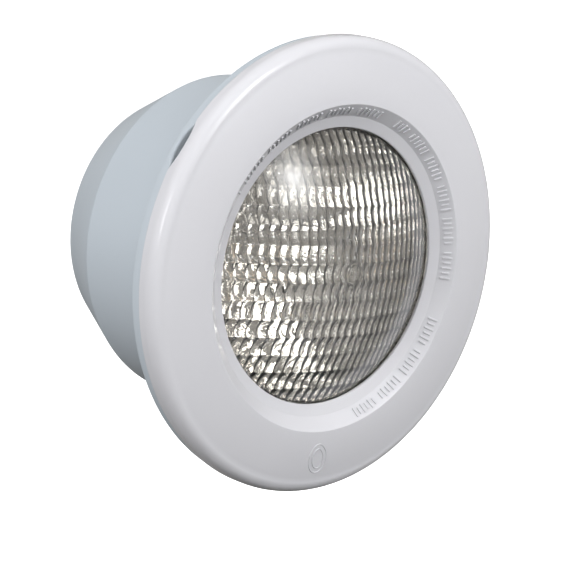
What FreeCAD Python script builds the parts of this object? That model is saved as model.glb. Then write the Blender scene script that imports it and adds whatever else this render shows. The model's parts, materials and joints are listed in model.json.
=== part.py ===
import FreeCAD, Part
import Sketcher
import math
import os

# Underwater pool light for a PAR 56 lamp: a plastic niche that is set into the
# pool wall, a sealed lamp unit that screws to the niche's flange, and a
# push-fit face ring that hides the screws.
#
# Frame, millimetres: the origin is the centre of the niche flange's back
# face, which lies on the pool wall. -Y points out of the wall into the pool,
# +Y points into the wall, +Z is up and +X is to the right seen from the pool.
# Profiles are drawn in each body's XY plane with x as the radius and y as the
# row's Y, so the front of the lamp has the most negative y.

doc = FreeCAD.newDocument("PoolLight")
V = FreeCAD.Vector

# ---------------------------------------------------------------- dimensions
DIMS = [
    ("open_r", 85.0, "face ring opening radius, the clear aperture of the lamp"),
    ("lip_y", -16.5, "front edge of the opening"),
    ("lip_out_r", 92.15, "outer radius of the gentle lip"),
    ("lip_out_y", -18.7, "lip meets the sloping collar"),
    ("crown_r", 100.1, "top of the sloping collar"),
    ("crown_y", -25.8, "frontmost circle of the face ring"),
    ("face_out_r", 132.0, "where the face turns into the rim fillet"),
    ("face_out_y", -20.9, "height of the face at the rim fillet"),
    ("face_arc", 170.0, "crown radius of the slightly convex face"),
    ("rim_r", 140.0, "face ring outer radius"),
    ("rim_fillet", 8.0, "outer rim fillet"),
    ("rim_back_y", -7.9, "back edge of the face ring"),
    ("ring_wall", 2.4, "rim wall thickness"),
    ("lip_wall", 1.9, "lip thickness"),
    ("notch_width", 28.0, "pry notch width"),
    ("notch_depth", 3.2, "pry notch depth"),
    ("notch_angle", 148.0, "pry notch position, seen from the pool"),
    ("recess_depth", 3.4, "depth of the flange's recess behind the pry notch"),
    ("recess_in_r", 128.0, "inner end of the flange's recess"),
    ("tab_in_r", 122.3, "inner face of the snap tabs"),
    ("tab_wall", 2.4, "snap tab thickness"),
    ("tab_width", 16.0, "snap tab width"),
    ("tab_end_y", -8.4, "free end of the snap tabs"),
    ("flange_r", 138.5, "niche flange radius"),
    ("flange_wall", 7.5, "niche flange thickness"),
    ("pot_r", 102.3, "niche barrel outer radius"),
    ("pot_wall", 3.0, "niche wall thickness"),
    ("pot_len", 89.5, "niche barrel length behind the wall plane"),
    ("pot_back_r", 81.0, "niche back plate radius"),
    ("pot_depth", 134.5, "niche depth behind the wall plane"),
    ("wall_pcr", 131.0, "pitch radius of the wall screw holes"),
    ("wall_hole_r", 2.75, "wall screw hole radius"),
    ("boss_pcr", 116.0, "pitch radius of the lamp unit screws"),
    ("boss_r", 6.5, "screw boss radius"),
    ("boss_len", 12.0, "screw boss length behind the flange"),
    ("insert_r", 4.0, "brass insert outer radius"),
    ("insert_bore_r", 2.8, "brass insert bore"),
    ("hs_flange_r", 122.0, "lamp housing flange radius"),
    ("hs_flange_y", -7.8, "back face of the housing flange"),
    ("hs_step_y", -10.8, "front of the flange's outer step"),
    ("hs_step_r", 110.5, "radius of the flange's raised land"),
    ("hs_top_y", -12.9, "front of the raised land"),
    ("hs_mouth_r", 93.0, "bore that holds the lamp gasket"),
    ("hs_seat_y", -5.2, "gasket seat"),
    ("hs_neck_r", 86.5, "housing bore behind the seat"),
    ("hs_skirt_r", 96.0, "housing outer radius at the flange"),
    ("hs_body_r", 90.0, "housing outer radius behind the seat"),
    ("hs_body_y", 18.0, "start of the housing's taper"),
    ("hs_back_r", 56.0, "housing back plate outer radius"),
    ("hs_back_y", 99.0, "back face of the housing"),
    ("hs_wall", 3.0, "housing wall thickness"),
    ("gasket_r", 92.6, "lamp gasket outer radius"),
    ("gasket_in_r", 85.9, "lamp gasket inner radius"),
    ("gasket_back_y", -5.5, "back face of the gasket"),
    ("gasket_front_y", -12.6, "front face of the gasket"),
    ("gasket_wall", 1.4, "gasket wall"),
    ("lamp_rim_r", 89.0, "PAR 56 lamp rim radius"),
    ("lamp_rim_front_y", -11.2, "front of the glass rim"),
    ("lamp_seam_y", -8.6, "joint between lens and reflector glass"),
    ("lamp_rim_back_y", -6.9, "back of the glass rim"),
    ("lens_edge_r", 85.6, "foot of the domed lens"),
    ("lens_edge_y", -13.1, "height of the lens at its foot"),
    ("lens_dome", 155.0, "lens dome radius"),
    ("lens_apex_y", -39.0, "front of the lens"),
    ("lens_wall", 3.5, "lens glass thickness"),
    ("refl_mouth_r", 83.6, "reflector mouth radius"),
    ("refl_back_r", 22.0, "reflector back radius"),
    ("refl_back_y", 68.0, "inside of the reflector's back"),
    ("refl_arc", 178.0, "reflector curve"),
    ("refl_wall", 3.5, "reflector glass thickness"),
    ("filament_y", 50.0, "filament position, at the reflector's focus"),
    ("filament_r", 1.6, "filament coil radius"),
    ("filament_len", 20.0, "filament coil length"),
    ("lead_pitch", 12.0, "half the distance between the lamp's contacts"),
    ("lead_r", 1.0, "filament support rod radius"),
    ("ferrule_r", 7.0, "lamp contact cup radius"),
    ("ferrule_len", 7.0, "lamp contact cup length"),
    ("term_head_r", 4.2, "terminal screw head radius"),
    ("term_len", 5.0, "terminal screw length behind the cup"),
    ("clamp_r", 110.0, "retaining ring outer radius"),
    ("clamp_in_r", 85.9, "retaining ring inner radius"),
    ("clamp_back_y", -13.2, "back of the retaining ring"),
    ("clamp_front_y", -14.4, "front of the retaining ring"),
    ("clamp_pcr", 103.5, "pitch radius of the clamp screws"),
    ("clamp_shank_r", 2.0, "clamp screw shank radius"),
    ("clamp_head_r", 3.8, "clamp screw head radius"),
    ("clamp_head_len", 2.6, "clamp screw head height"),
    ("clamp_end_y", -8.9, "end of the clamp screws"),
    ("mount_shank_r", 2.5, "lamp unit screw shank radius"),
    ("mount_head_r", 4.6, "lamp unit screw head radius"),
    ("mount_head_len", 3.2, "lamp unit screw head height"),
    ("mount_end_y", 8.0, "end of the lamp unit screws"),
    ("washer_r", 5.4, "screw washer radius"),
    ("washer_wall", 1.0, "screw washer thickness"),
    ("gland_z", 38.0, "height of the niche's cable gland"),
    ("gland_thread_r", 10.0, "cable gland thread radius"),
    ("gland_hole_r", 10.2, "hole for the gland"),
    ("gland_bore_r", 6.2, "bore of the gland body"),
    ("gland_pocket_r", 7.6, "seal pocket radius"),
    ("gland_hex_r", 14.0, "gland hexagon corner radius"),
    ("gland_hex_len", 5.5, "gland hexagon length"),
    ("gland_nut_len", 5.0, "lock nut thickness"),
    ("gland_washer_r", 13.0, "gland washer radius"),
    ("gland_washer_wall", 1.4, "gland washer thickness"),
    ("gland_neck_r", 9.0, "gland neck radius"),
    ("gland_neck_len", 8.0, "gland neck length"),
    ("gland_cap_r", 14.0, "gland cap corner radius"),
    ("gland_cap_len", 12.2, "gland cap length"),
    ("gland_cap_wall", 2.4, "gland cap end wall"),
    ("gland_cap_bore_r", 6.0, "cable opening of the cap"),
    ("seal_bore_r", 5.75, "cable seal bore, for an 11.5 mm cable"),
]
sheet = doc.addObject("Spreadsheet::Sheet", "Dims")
sheet.Label = "Dims"
VAL = {}
for row, (alias, value, note) in enumerate(DIMS, start=1):
    sheet.set("A%d" % row, note)
    sheet.set("B%d" % row, repr(value))
    sheet.setAlias("B%d" % row, alias)
    VAL[alias] = value
doc.recompute()


class Q:
    """A dimension: its value, and the expression that gives it."""

    def __init__(self, v, e):
        self.v = float(v)
        self.e = e

    def __add__(self, o):
        o = q(o)
        return Q(self.v + o.v, "(%s + %s)" % (self.e, o.e))

    def __radd__(self, o):
        return q(o) + self

    def __sub__(self, o):
        o = q(o)
        return Q(self.v - o.v, "(%s - %s)" % (self.e, o.e))

    def __rsub__(self, o):
        return q(o) - self

    def __mul__(self, o):
        o = q(o)
        return Q(self.v * o.v, "(%s * %s)" % (self.e, o.e))

    def __rmul__(self, o):
        return q(o) * self

    def __truediv__(self, o):
        o = q(o)
        return Q(self.v / o.v, "(%s / %s)" % (self.e, o.e))

    def __neg__(self):
        return Q(-self.v, "(0 - %s)" % self.e)


def q(x):
    if isinstance(x, Q):
        return x
    return Q(x, "%.9g" % x if x >= 0 else "(0 - %.9g)" % -x)


def D(alias):
    return Q(VAL[alias], "Dims." + alias)


# ------------------------------------------------------------------- helpers
NODES = []


def new_body(label):
    body = doc.addObject("PartDesign::Body", label)
    body.Label = label
    if hasattr(body, "AllowCompound"):
        body.AllowCompound = True
    NODES.append(body)
    return body


def origin_item(body, role):
    for o in body.Origin.OriginFeatures:
        if o.Role == role:
            return o
    raise RuntimeError("no " + role)


def new_sketch(body, name, plane, offset=None):
    sk = body.newObject("Sketcher::SketchObject", name)
    sk.AttachmentSupport = [(origin_item(body, plane), "")]
    sk.MapMode = "FlatFace"
    if offset is not None:
        offset = q(offset)
        sk.AttachmentOffset = FreeCAD.Placement(V(0, 0, offset.v), FreeCAD.Rotation())
        sk.setExpression("AttachmentOffset.Base.z", offset.e)
    return sk


def bind(sk, kind, *args):
    """Adds a driven dimension: the last argument is a Q."""
    val = args[-1]
    i = sk.addConstraint(Sketcher.Constraint(kind, *args[:-1], val.v))
    sk.setExpression("Constraints[%d]" % i, val.e)


def pin(sk, geo, pos, x, y):
    x, y = q(x), q(y)
    if abs(x.v) < 1e-9:
        sk.addConstraint(Sketcher.Constraint("PointOnObject", geo, pos, -2))
    else:
        bind(sk, "DistanceX", -1, 1, geo, pos, x)
    if abs(y.v) < 1e-9:
        sk.addConstraint(Sketcher.Constraint("PointOnObject", geo, pos, -1))
    else:
        bind(sk, "DistanceY", -1, 1, geo, pos, y)


def closed_profile(sk, verts):
    """Closed outline. A vertex is (x, y) or (x, y, radius, side): then the
    edge to the next vertex is an arc with its centre on the left (+1) or on
    the right (-1)."""
    n = len(verts)
    pts = [(q(v[0]), q(v[1])) for v in verts]
    ends = []
    for i in range(n):
        ax, ay = pts[i][0].v, pts[i][1].v
        bx, by = pts[(i + 1) % n][0].v, pts[(i + 1) % n][1].v
        if len(verts[i]) == 2:
            g = sk.addGeometry(Part.LineSegment(V(ax, ay, 0), V(bx, by, 0)), False)
            ends.append((g, 1, 2, None))
        else:
            rad, side = q(verts[i][2]), verts[i][3]
            c = math.hypot(bx - ax, by - ay)
            hgt = math.sqrt(max(rad.v ** 2 - c * c / 4.0, 0.0))
            nx, ny = -(by - ay) / c, (bx - ax) / c
            cx, cy = (ax + bx) / 2 + side * hgt * nx, (ay + by) / 2 + side * hgt * ny
            a = math.atan2(ay - cy, ax - cx)
            b = math.atan2(by - cy, bx - cx)
            if side < 0:
                a, b = b, a
            while b < a:
                b += 2 * math.pi
            g = sk.addGeometry(Part.ArcOfCircle(Part.Circle(V(cx, cy, 0), V(0, 0, 1), rad.v), a, b), False)
            ends.append((g, 1, 2, rad) if side > 0 else (g, 2, 1, rad))
    for i in range(n):
        g, s, e, rad = ends[i]
        g2, s2, e2, r2 = ends[(i + 1) % n]
        sk.addConstraint(Sketcher.Constraint("Coincident", g, e, g2, s2))
    for i in range(n):
        g, s, e, rad = ends[i]
        pin(sk, g, s, pts[i][0], pts[i][1])
        if rad is not None:
            bind(sk, "Radius", g, rad)
    return sk


def circle(sk, x, y, r):
    x, y, r = q(x), q(y), q(r)
    g = sk.addGeometry(Part.Circle(V(x.v, y.v, 0), V(0, 0, 1), r.v), False)
    pin(sk, g, 3, x, y)
    bind(sk, "Radius", g, r)


def axis_line(sk, x, y0, y1):
    x, y0, y1 = q(x), q(y0), q(y1)
    g = sk.addGeometry(Part.LineSegment(V(x.v, y0.v, 0), V(x.v, y1.v, 0)), True)
    pin(sk, g, 1, x, y0)
    pin(sk, g, 2, x, y1)


def revolve(body, sk, axis="V_Axis"):
    rev = body.newObject("PartDesign::Revolution", "Revolution")
    rev.Profile = sk
    rev.ReferenceAxis = (sk, [axis])
    rev.Angle = 360.0
    return rev


def pad(body, sk, length, to_back=False):
    f = body.newObject("PartDesign::Pad", "Pad")
    f.Profile = sk
    f.Length = q(length).v
    f.setExpression("Length", q(length).e)
    f.Reversed = to_back
    return f


def pocket(body, sk, length, to_front=False):
    f = body.newObject("PartDesign::Pocket", "Pocket")
    f.Profile = sk
    f.Length = q(length).v
    f.setExpression("Length", q(length).e)
    f.Reversed = to_front
    return f


def polar(body, feats, count):
    p = body.newObject("PartDesign::PolarPattern", "PolarPattern")
    p.Originals = feats
    p.Axis = (origin_item(body, "Y_Axis"), [""])
    p.Angle = 360.0
    p.Occurrences = count
    body.Tip = p
    return p


def turned(body, degrees_):
    """Turns a body about the lamp's axis, counter-clockwise seen from the pool."""
    body.Placement = FreeCAD.Placement(V(0, 0, 0), FreeCAD.Rotation(V(0, -1, 0), degrees_))


def circle_edges(shape, radius, y, tol=0.05):
    out = []
    for i, e in enumerate(shape.Edges, start=1):
        c = e.Curve
        if c.TypeId == "Part::GeomCircle" and abs(c.Radius - radius) < tol and abs(c.Center.y - y) < tol:
            out.append("Edge%d" % i)
    return out


def fillet(body, base, edges, radius):
    if not edges:
        raise RuntimeError("no edge to fillet in " + body.Label)
    f = body.newObject("PartDesign::Fillet", "Fillet")
    f.Base = (base, edges)
    f.Radius = q(radius).v
    f.setExpression("Radius", q(radius).e)
    return f


# ================================================================= the niche
niche = new_body("niche_shell")
back_in = D("pot_depth") - D("pot_wall")
sk = new_sketch(niche, "NicheProfile", "XY_Plane")
closed_profile(sk, [
    (D("pot_r"), 0),
    (D("flange_r"), 0),
    (D("flange_r"), -D("flange_wall")),
    (D("pot_r") - D("pot_wall"), -D("flange_wall")),
    (D("pot_r") - D("pot_wall"), D("pot_len")),
    (D("pot_back_r") - D("pot_wall"), back_in),
    (0, back_in),
    (0, D("pot_depth")),
    (D("pot_back_r"), D("pot_depth")),
    (D("pot_r"), D("pot_len")),
])
rev = revolve(niche, sk)
doc.recompute()
f = fillet(niche, rev, circle_edges(rev.Shape, VAL["flange_r"], -VAL["flange_wall"]), 0.8)
# four bosses behind the flange take the lamp unit's screws
sk = new_sketch(niche, "BossSketch", "XZ_Plane", 0)
circle(sk, D("boss_pcr"), 0, D("boss_r"))
boss = pad(niche, sk, D("boss_len"), to_back=True)
doc.recompute()
polar(niche, [boss], 4)
doc.recompute()
sk = new_sketch(niche, "BossHole", "XZ_Plane", D("flange_wall"))
circle(sk, D("boss_pcr"), 0, D("insert_r"))
hole = pocket(niche, sk, D("flange_wall") + D("boss_len") - 2.0)
doc.recompute()
polar(niche, [hole], 4)
doc.recompute()
# four screw holes fix the flange to the wall
sk = new_sketch(niche, "WallHole", "XZ_Plane", D("flange_wall"))
circle(sk, D("wall_pcr") * math.cos(math.pi / 4), D("wall_pcr") * math.sin(math.pi / 4), D("wall_hole_r"))
hole = pocket(niche, sk, D("flange_wall") + 1.0)
doc.recompute()
polar(niche, [hole], 4)
doc.recompute()
# cable gland hole in the back plate
sk = new_sketch(niche, "GlandHole", "XZ_Plane", -back_in + 1.0)
circle(sk, 0, D("gland_z"), D("gland_hole_r"))
pocket(niche, sk, D("pot_wall") + 2.0)
doc.recompute()

# brass inserts in the four bosses
ins = new_body("screw_inserts")
sk = new_sketch(ins, "InsertProfile", "XY_Plane")
axis_line(sk, D("boss_pcr"), 0, 10)
closed_profile(sk, [
    (D("boss_pcr") + D("insert_bore_r"), -D("flange_wall") + 0.4),
    (D("boss_pcr") + D("insert_r"), -D("flange_wall") + 0.4),
    (D("boss_pcr") + D("insert_r"), D("boss_len") - 2.2),
    (D("boss_pcr") + D("insert_bore_r"), D("boss_len") - 2.2),
])
rev = revolve(ins, sk, "Axis0")
doc.recompute()
polar(ins, [rev], 4)
doc.recompute()


# ============================================================== cable glands
def cyl(name, r, z0, length):
    c = doc.addObject("Part::Cylinder", name)
    r, z0, length = q(r), q(z0), q(length)
    c.Radius, c.Height = r.v, length.v
    c.setExpression("Radius", r.e)
    c.setExpression("Height", length.e)
    c.Placement = FreeCAD.Placement(V(0, 0, z0.v), FreeCAD.Rotation())
    c.setExpression("Placement.Base.z", z0.e)
    return c


def hexagon(name, r, z0, length):
    c = doc.addObject("Part::Prism", name)
    r, z0, length = q(r), q(z0), q(length)
    c.Polygon = 6
    c.Circumradius, c.Height = r.v, length.v
    c.setExpression("Circumradius", r.e)
    c.setExpression("Height", length.e)
    c.Placement = FreeCAD.Placement(V(0, 0, z0.v), FreeCAD.Rotation())
    c.setExpression("Placement.Base.z", z0.e)
    return c


def dome_cone(name, r0, r1, z0, length):
    c = doc.addObject("Part::Cone", name)
    r0, r1, z0, length = q(r0), q(r1), q(z0), q(length)
    c.Radius1, c.Radius2, c.Height = r0.v, r1.v, length.v
    c.setExpression("Radius1", r0.e)
    c.setExpression("Radius2", r1.e)
    c.setExpression("Height", length.e)
    c.Placement = FreeCAD.Placement(V(0, 0, z0.v), FreeCAD.Rotation())
    c.setExpression("Placement.Base.z", z0.e)
    return c


def fuse(name, shapes):
    f = doc.addObject("Part::MultiFuse", name)
    f.Shapes = shapes
    return f


def cut(name, base, tool):
    f = doc.addObject("Part::Cut", name)
    f.Base, f.Tool = base, tool
    return f


def seat(obj, label, z, y):
    """Labels a finished piece and seats it in a plate's back face: its own Z
    axis turns to +Y."""
    z, y = q(z), q(y)
    obj.Label = label
    obj.Placement = FreeCAD.Placement(V(0, y.v, z.v), FreeCAD.Rotation(V(1, 0, 0), -90))
    obj.setExpression("Placement.Base.z", z.e)
    obj.setExpression("Placement.Base.y", y.e)
    NODES.append(obj)


def gland(prefix, z, y, plate):
    """Screwed cable gland. Its own z = 0 is the plate's back face, and +z
    points out of the plate."""
    plate = q(plate)
    w = D("gland_washer_wall")
    hexend = w + D("gland_hex_len")
    neckend = hexend + D("gland_neck_len")
    barrel = cyl(prefix + "Barrel", D("gland_thread_r"), -plate - D("gland_nut_len") - 1.5,
                 plate + D("gland_nut_len") + 1.5 + w + 0.5)
    flats = hexagon(prefix + "Flats", D("gland_hex_r"), w, D("gland_hex_len"))
    trim = dome_cone(prefix + "Trim", D("gland_hex_r") * 1.12, D("gland_hex_r") * 0.9, w,
                     D("gland_hex_len") + 0.001)
    flats2 = doc.addObject("Part::Common", prefix + "Hex")
    flats2.Base, flats2.Tool = flats, trim
    neck = cyl(prefix + "Neck", D("gland_neck_r"), hexend - 0.5, D("gland_neck_len") + 0.5)
    solid = fuse(prefix + "Solid", [barrel, flats2, neck])
    bore = cyl(prefix + "Bore", D("gland_bore_r"), -plate - 10, plate + 40)
    pocket_ = cyl(prefix + "Pocket", D("gland_pocket_r"), hexend + 1.5, 20)
    body = cut(prefix + "Body", solid, fuse(prefix + "Bores", [bore, pocket_]))
    seat(body, prefix + "_gland_body", z, y)

    nut = cut(prefix + "Nut", hexagon(prefix + "NutHex", D("gland_hex_r"), -plate - D("gland_nut_len"), D("gland_nut_len")),
              cyl(prefix + "NutBore", D("gland_thread_r"), -plate - 20, 40))
    seat(nut, prefix + "_gland_locknut", z, y)

    wash = cut(prefix + "Washer", cyl(prefix + "WasherDisc", D("gland_washer_r"), 0, w),
               cyl(prefix + "WasherBore", D("gland_thread_r"), -5, 20))
    seat(wash, prefix + "_gland_washer", z, y)

    capstart = hexend + 0.4
    capend = capstart + D("gland_cap_len")
    shell = doc.addObject("Part::Common", prefix + "CapOuter")
    shell.Base = hexagon(prefix + "CapHex", D("gland_cap_r"), capstart, D("gland_cap_len"))
    shell.Tool = dome_cone(prefix + "CapCone", D("gland_cap_r") * 1.15, D("gland_cap_r") * 0.78, capstart,
                           D("gland_cap_len") + 0.001)
    hollow = cyl(prefix + "CapHollow", D("gland_neck_r") + 0.1, capstart - 1.0,
                 D("gland_cap_len") + 1.0 - D("gland_cap_wall"))
    capbore = cyl(prefix + "CapBore", D("gland_cap_bore_r"), capstart - 1.0, D("gland_cap_len") + 3.0)
    cap = cut(prefix + "Cap", shell, fuse(prefix + "CapHollows", [hollow, capbore]))
    seat(cap, prefix + "_gland_cap", z, y)

    sealstart = hexend + 1.5
    sealend = capend - D("gland_cap_wall")
    rub = cut(prefix + "Seal", cyl(prefix + "SealSleeve", D("gland_pocket_r") - 0.05, sealstart, sealend - sealstart),
              cyl(prefix + "SealBore", D("seal_bore_r"), 0, 60))
    seat(rub, prefix + "_gland_seal", z, y)
    return neckend, capend


gland("niche", D("gland_z"), D("pot_depth"), D("pot_wall"))
gland("housing", 0.0, D("hs_back_y"), D("hs_wall"))

# ========================================================== the lamp housing
hs = new_body("rear_housing")
w = D("hs_wall")
sk = new_sketch(hs, "HousingProfile", "XY_Plane")
closed_profile(sk, [
    (D("hs_flange_r"), D("hs_flange_y")),
    (D("hs_flange_r"), D("hs_step_y")),
    (D("hs_step_r"), D("hs_step_y")),
    (D("hs_step_r"), D("hs_top_y")),
    (D("hs_mouth_r"), D("hs_top_y")),
    (D("hs_mouth_r"), D("hs_seat_y")),
    (D("hs_neck_r"), D("hs_seat_y")),
    (D("hs_neck_r"), D("hs_body_y")),
    (D("hs_back_r") - w, D("hs_back_y") - w),
    (0, D("hs_back_y") - w),
    (0, D("hs_back_y")),
    (D("hs_back_r"), D("hs_back_y")),
    (D("hs_body_r"), D("hs_body_y")),
    (D("hs_body_r"), D("hs_seat_y") + 7.0),
    (D("hs_skirt_r"), D("hs_seat_y") + 3.0),
    (D("hs_skirt_r"), D("hs_flange_y")),
])
rev = revolve(hs, sk)
doc.recompute()
f = fillet(hs, rev, circle_edges(rev.Shape, VAL["hs_back_r"], VAL["hs_back_y"]), 5.0)
# eight blind holes for the clamp screws, turned half a step from the others
sk = new_sketch(hs, "ClampHole", "XZ_Plane", -D("hs_top_y") + 1.0)
a = math.radians(22.5)
circle(sk, D("clamp_pcr") * math.cos(a), D("clamp_pcr") * math.sin(a), D("clamp_shank_r") + 0.3)
hole = pocket(hs, sk, D("clamp_end_y") - D("hs_top_y") + 1.4)
doc.recompute()
polar(hs, [hole], 8)
doc.recompute()
# four through holes for the screws that hold the unit in the niche
sk = new_sketch(hs, "MountHole", "XZ_Plane", -D("hs_top_y") + 1.0)
circle(sk, D("boss_pcr"), 0, D("mount_shank_r") + 0.2)
hole = pocket(hs, sk, 10.0)
doc.recompute()
polar(hs, [hole], 4)
doc.recompute()
# gland hole
sk = new_sketch(hs, "GlandHole", "XZ_Plane", -(D("hs_back_y") - w) + 1.0)
circle(sk, 0, 0, D("gland_hole_r"))
pocket(hs, sk, w + 2.0)
doc.recompute()


def screw_group(label, pcr, count, head_y, head_len, head_r, shank_r, end_y, drive_r, drive_d):
    """Pan-head screws on a circle: domed head with a round-bottomed drive
    recess, and a shank with a pointed tip."""
    b = new_body(label)
    s = new_sketch(b, "ScrewProfile", "XY_Plane")
    top = head_y - head_len
    axis_line(s, pcr, top, end_y)
    closed_profile(s, [
        (pcr, top + drive_d),
        (pcr + drive_r * 0.55, top + drive_d),
        (pcr + drive_r, top),
        (pcr + head_r * 0.62, top),
        (pcr + head_r, top + head_len * 0.55),
        (pcr + head_r, head_y),
        (pcr + shank_r, head_y),
        (pcr + shank_r, end_y - shank_r * 0.8),
        (pcr + shank_r * 0.35, end_y),
        (pcr, end_y),
    ])
    r_ = revolve(b, s, "Axis0")
    doc.recompute()
    polar(b, [r_], count)
    doc.recompute()
    return b


# screws that hold the unit in the niche, with their washers
screw_group("mounting_screws", D("boss_pcr"), 4, D("hs_step_y") - D("washer_wall"), D("mount_head_len"),
            D("mount_head_r"), D("mount_shank_r"), D("mount_end_y"), D("mount_head_r") * 0.45, D("mount_head_len") * 0.6)
b = new_body("screw_washers")
sk = new_sketch(b, "WasherProfile", "XY_Plane")
axis_line(sk, D("boss_pcr"), 0, 5)
closed_profile(sk, [
    (D("boss_pcr") + D("mount_shank_r") + 0.1, D("hs_step_y")),
    (D("boss_pcr") + D("mount_shank_r") + 0.1, D("hs_step_y") - D("washer_wall")),
    (D("boss_pcr") + D("washer_r"), D("hs_step_y") - D("washer_wall")),
    (D("boss_pcr") + D("washer_r"), D("hs_step_y")),
])
rev = revolve(b, sk, "Axis0")
doc.recompute()
polar(b, [rev], 4)
doc.recompute()

# ======================================================= the sealed-beam lamp
lens = new_body("lamp_lens")
sk = new_sketch(lens, "LensProfile", "XY_Plane")
li = D("lens_wall")
closed_profile(sk, [
    (0, D("lens_apex_y"), D("lens_dome"), 1),
    (D("lens_edge_r"), D("lens_edge_y")),
    (D("lens_edge_r"), D("lamp_rim_front_y")),
    (D("lamp_rim_r"), D("lamp_rim_front_y")),
    (D("lamp_rim_r"), D("lamp_seam_y")),
    (D("refl_mouth_r"), D("lamp_seam_y")),
    (D("refl_mouth_r"), D("lens_edge_y") + 3.0, D("lens_dome") - li, -1),
    (0, D("lens_apex_y") + li),
])
revolve(lens, sk)
doc.recompute()

refl = new_body("lamp_reflector")
sk = new_sketch(refl, "ReflectorProfile", "XY_Plane")
rw = D("refl_wall")
closed_profile(sk, [
    (D("refl_mouth_r"), D("lamp_seam_y")),
    (D("lamp_rim_r"), D("lamp_seam_y")),
    (D("lamp_rim_r"), D("lamp_rim_back_y")),
    (D("refl_mouth_r") + 1.6, D("lamp_rim_back_y"), D("refl_arc"), 1),
    (D("refl_back_r") + 2.2, D("refl_back_y") + rw),
    (0, D("refl_back_y") + rw),
    (0, D("refl_back_y")),
    (D("refl_back_r"), D("refl_back_y"), D("refl_arc"), -1),
])
revolve(refl, sk)
doc.recompute()
# the two support rods pass through the reflector's back
sk = new_sketch(refl, "LeadHole", "XZ_Plane", -D("refl_back_y") + 1.0)
circle(sk, D("lead_pitch"), 0, D("lead_r"))
circle(sk, -D("lead_pitch"), 0, D("lead_r"))
pocket(refl, sk, rw + 2.0)
doc.recompute()

# filament coil, lying across the axis at the reflector's focus
fil = cyl("FilamentCoil", D("filament_r"), -D("filament_len") / 2, D("filament_len"))
core = cyl("FilamentCore", D("filament_r") * 0.5, -D("filament_len"), D("filament_len") * 2)
coil = cut("Filament", fil, core)
coil.Label = "filament"
coil.Placement = FreeCAD.Placement(V(0, VAL["filament_y"], 0), FreeCAD.Rotation(V(0, 1, 0), 90))
coil.setExpression("Placement.Base.y", D("filament_y").e)
NODES.append(coil)


def along_y(obj, x, y0):
    x, y0 = q(x), q(y0)
    obj.Placement = FreeCAD.Placement(V(x.v, y0.v, 0), FreeCAD.Rotation(V(1, 0, 0), -90))
    obj.setExpression("Placement.Base.x", x.e)
    obj.setExpression("Placement.Base.y", y0.e)
    return obj


def group(label, items):
    c = doc.addObject("Part::Compound", label)
    c.Links = items
    c.Label = label
    NODES.append(c)
    return c


rods = []
for i, side in enumerate((-1, 1)):
    stem = cyl("SupportStem%d" % i, D("lead_r"), 0, D("refl_back_y") + rw - D("filament_y") + 2.4)
    stem.setExpression("Placement.Base.z", None)
    along_y(stem, side * D("lead_pitch"), D("filament_y") - 2.4)
    rods.append(stem)
    # arm that reaches from the stem to the end of the coil
    arm = doc.addObject("Part::Cylinder", "SupportArm%d" % i)
    arm.Radius = 1.2
    arm.Height = VAL["lead_pitch"] - VAL["filament_len"] / 2 - 0.6
    arm.setExpression("Height", (D("lead_pitch") - D("filament_len") / 2 - 0.6).e)
    x0 = D("filament_len") / 2 if side > 0 else -D("lead_pitch") + 0.6
    arm.Placement = FreeCAD.Placement(V(x0.v, VAL["filament_y"], 0), FreeCAD.Rotation(V(0, 1, 0), 90))
    arm.setExpression("Placement.Base.x", x0.e)
    arm.setExpression("Placement.Base.y", D("filament_y").e)
    rods[-1] = fuse("Support%d" % i, [stem, arm])
group("filament_supports", rods)

cups, terms = [], []
for i, side in enumerate((-1, 1)):
    cup = cyl("Cup%d" % i, D("ferrule_r"), 0, D("ferrule_len"))
    cup.setExpression("Placement.Base.z", None)
    along_y(cup, side * (D("lead_pitch")), D("refl_back_y") + rw)
    cups.append(cup)
    neck = cyl("TermNeck%d" % i, D("term_head_r") * 0.55, 0, D("term_len") - 2.0)
    neck.setExpression("Placement.Base.z", None)
    along_y(neck, side * D("lead_pitch"), D("refl_back_y") + rw + D("ferrule_len"))
    head = cyl("TermHead%d" % i, D("term_head_r"), 0, 2.0)
    head.setExpression("Placement.Base.z", None)
    along_y(head, side * D("lead_pitch"), D("refl_back_y") + rw + D("ferrule_len") + D("term_len") - 2.0)
    terms.append(fuse("Terminal%d" % i, [neck, head]))
group("lamp_ferrules", cups)
group("terminal_screws", terms)

# rubber gasket, a U section that wraps the lamp's rim
gk = new_body("lamp_gasket")
sk = new_sketch(gk, "GasketProfile", "XY_Plane")
closed_profile(sk, [
    (D("gasket_in_r"), D("gasket_front_y")),
    (D("gasket_r"), D("gasket_front_y")),
    (D("gasket_r"), D("gasket_back_y")),
    (D("gasket_in_r"), D("gasket_back_y")),
    (D("gasket_in_r"), D("lamp_rim_back_y")),
    (D("lamp_rim_r"), D("lamp_rim_back_y")),
    (D("lamp_rim_r"), D("lamp_rim_front_y")),
    (D("gasket_in_r"), D("lamp_rim_front_y")),
])
revolve(gk, sk)
doc.recompute()

# ========================================================= the retaining ring
rr = new_body("retaining_ring")
sk = new_sketch(rr, "RetainingProfile", "XY_Plane")
closed_profile(sk, [
    (D("clamp_in_r"), D("clamp_front_y")),
    (D("clamp_in_r"), D("clamp_back_y")),
    (D("clamp_r"), D("clamp_back_y")),
    (D("clamp_r"), D("clamp_front_y") - 1.8),
    (D("clamp_r") - 1.4, D("clamp_front_y") - 1.8),
    (D("clamp_r") - 1.4, D("clamp_front_y")),
])
revolve(rr, sk)
doc.recompute()
sk = new_sketch(rr, "ClampHole", "XZ_Plane", -D("clamp_front_y") + 1.0)
circle(sk, D("clamp_pcr") * math.cos(a), D("clamp_pcr") * math.sin(a), D("clamp_shank_r") + 0.1)
hole = pocket(rr, sk, 6.0)
doc.recompute()
polar(rr, [hole], 8)
doc.recompute()

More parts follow.
